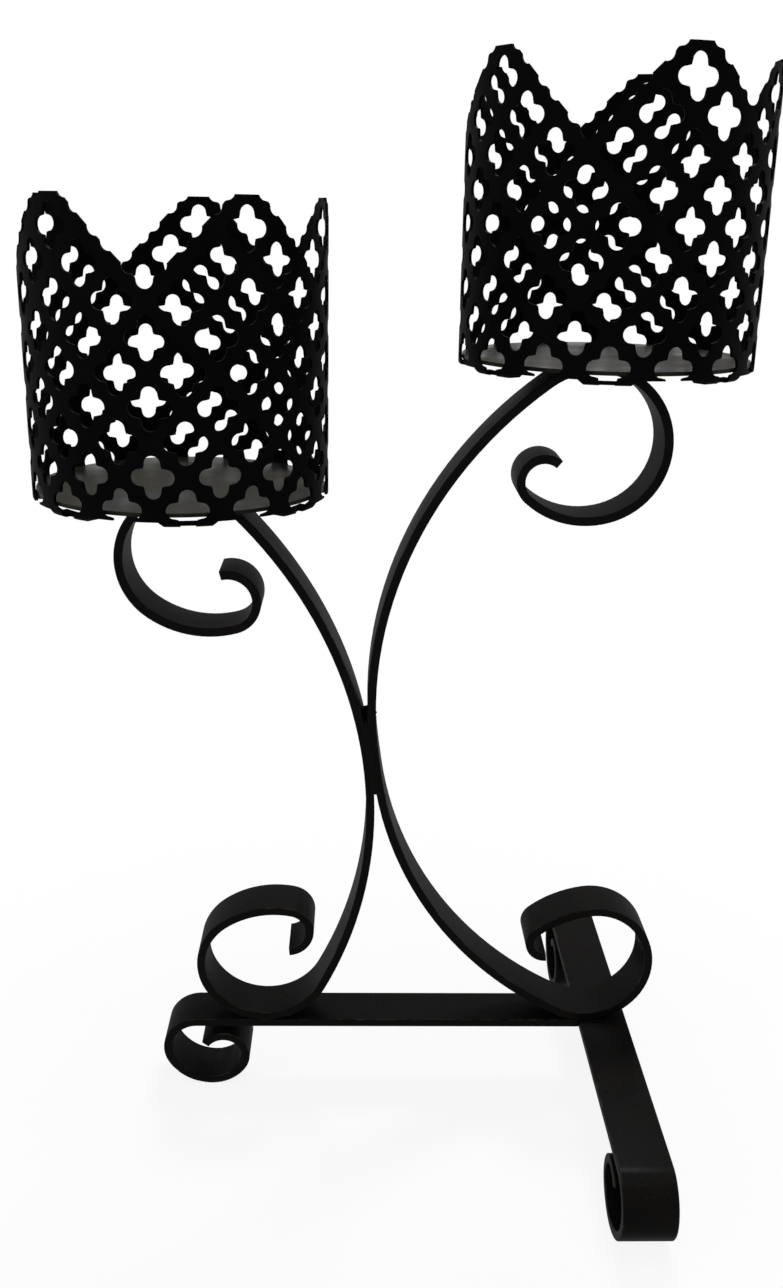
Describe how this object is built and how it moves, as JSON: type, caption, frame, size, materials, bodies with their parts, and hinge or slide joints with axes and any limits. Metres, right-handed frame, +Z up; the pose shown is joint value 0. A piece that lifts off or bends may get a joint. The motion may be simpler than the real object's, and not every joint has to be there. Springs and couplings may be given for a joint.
{
  "type": "double candle holder",
  "caption": "Painted scrollwork stand of bent flat bar on curled feet, holding two pierced crown-edged candle cups at different heights.",
  "frame": {"origin": "on the floor, under the middle of the overall width and depth", "axes": "+X to the side of the higher cup, +Y to the back, +Z up"},
  "size_m": [0.2474, 0.1892, 0.3847],
  "materials": {
    "bar_paint": "satin black paint over flat bar",
    "sheet_paint": "satin black paint over pierced sheet",
    "plate_paint": "satin black paint over a flat plate",
    "weld_paint": "satin black paint over weld beads"
  },
  "bodies": {
    "root": {"left_scroll": "bar_paint", "right_scroll": "bar_paint", "crossbar": "bar_paint", "foot_bar": "bar_paint", "left_cup_wall": "sheet_paint", "right_cup_wall": "sheet_paint", "left_candle_plate": "plate_paint", "right_candle_plate": "plate_paint", "centre_welds": "weld_paint", "base_joint_weld": "weld_paint", "left_plate_welds": "weld_paint", "right_plate_welds": "weld_paint", "left_base_welds": "weld_paint", "right_base_welds": "weld_paint", "left_cup_seam_tacks": "weld_paint", "right_cup_seam_tacks": "weld_paint", "left_cup_rim_tacks": "weld_paint", "right_cup_rim_tacks": "weld_paint"}
  },
  "joints": []
}
